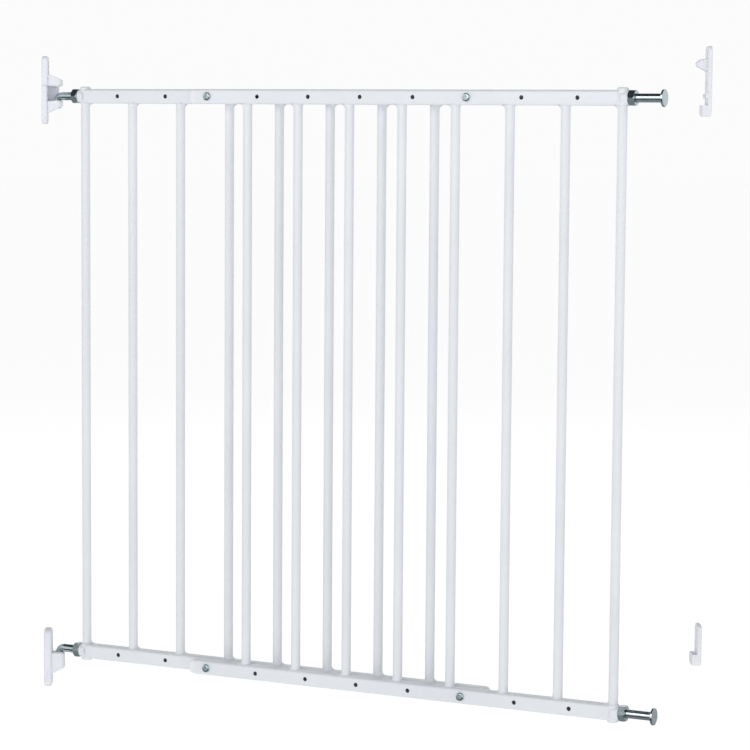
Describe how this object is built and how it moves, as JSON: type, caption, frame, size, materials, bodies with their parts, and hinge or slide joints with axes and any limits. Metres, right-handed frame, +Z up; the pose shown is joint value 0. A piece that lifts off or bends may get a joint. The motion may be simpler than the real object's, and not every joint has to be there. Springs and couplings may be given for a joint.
{
  "type": "pet gate",
  "caption": "Doorway safety gate for pets: two bolted white tube frames of vertical bars, hung on two screw-on wall hinge brackets and latched by round-headed bolts into two wall cups.",
  "frame": {"origin": "centre of the back face of the lower hinge bracket, on the hinge wall", "axes": "+X along the doorway from the hinge wall to the latch wall, -Y the side the gate opens to, +Z up"},
  "size_m": [0.83, 0.426, 0.8085],
  "materials": {
    "frame_paint": "smooth satin white powder coat",
    "zinc": "bright blue-white zinc plating",
    "bracket_plastic": "smooth white moulded plastic",
    "nylon": "natural nylon",
    "cap_plastic": "white plastic plug"
  },
  "bodies": {
    "wall_brackets": {"hinge_bracket_bottom": "bracket_plastic", "hinge_bracket_top": "bracket_plastic", "latch_bracket_bottom": "bracket_plastic", "latch_bracket_top": "bracket_plastic"},
    "hinge_bushes": {"hinge_bush_top": "nylon", "hinge_bush_bottom": "nylon"},
    "hinge_lock": {"hinge_lock_slider": "bracket_plastic"},
    "latch_bolt_upper": {"latch_bolt_top": "zinc"},
    "latch_bolt_lower": {"latch_bolt_bottom": "zinc"},
    "gate": {"front_bar_1": "frame_paint", "front_bar_2": "frame_paint", "front_bar_3": "frame_paint", "front_bar_4": "frame_paint", "front_bar_5": "frame_paint", "front_bar_6": "frame_paint", "front_bar_7": "frame_paint", "front_end_boss_bottom": "frame_paint", "front_end_boss_top": "frame_paint", "front_end_cap_bottom": "cap_plastic", "front_end_cap_top": "cap_plastic", "front_end_post": "frame_paint", "front_rail_bottom": "frame_paint", "front_rail_top": "frame_paint", "front_welds": "frame_paint", "hinge_lock_nut_bottom": "zinc", "hinge_lock_nut_top": "zinc", "hinge_pin_bottom": "zinc", "hinge_pin_top": "zinc", "join_nut_1": "zinc", "join_nut_2": "zinc", "join_nut_3": "zinc", "join_nut_4": "zinc", "join_screw_1": "zinc", "join_screw_2": "zinc", "join_screw_3": "zinc", "join_screw_4": "zinc", "latch_lock_nut_bottom": "zinc", "latch_lock_nut_top": "zinc", "rear_bar_1": "frame_paint", "rear_bar_2": "frame_paint", "rear_bar_3": "frame_paint", "rear_bar_4": "frame_paint", "rear_bar_5": "frame_paint", "rear_bar_6": "frame_paint", "rear_bar_7": "frame_paint", "rear_end_boss_bottom": "frame_paint", "rear_end_boss_top": "frame_paint", "rear_end_cap_bottom": "cap_plastic", "rear_end_cap_top": "cap_plastic", "rear_end_post": "frame_paint", "rear_rail_bottom": "frame_paint", "rear_rail_top": "frame_paint", "rear_welds": "frame_paint"}
  },
  "joints": [
    {"name": "swing", "type": "hinge", "parent": "wall_brackets", "child": "hinge_bushes", "pos_m": [0.019, 0, 0.012], "axis": [0, 0, 1], "range_deg": [-61, 29]},
    {"name": "lift", "type": "slide", "parent": "hinge_bushes", "child": "gate", "axis": [0, 0, 1], "range_m": [0, 0.006]},
    {"name": "lock_slide", "type": "slide", "parent": "wall_brackets", "child": "hinge_lock", "axis": [0, 0, 1], "range_m": [0, 0.012]},
    {"name": "latch_bolt_top_turn", "type": "hinge", "parent": "gate", "child": "latch_bolt_upper", "pos_m": [0.67134, -0.38046, 0.704], "axis": [0.8746, -0.4848, 0], "continuous": true},
    {"name": "latch_bolt_bottom_turn", "type": "hinge", "parent": "gate", "child": "latch_bolt_lower", "pos_m": [0.67134, -0.38046, 0.012], "axis": [0.8746, -0.4848, 0], "continuous": true}
  ]
}
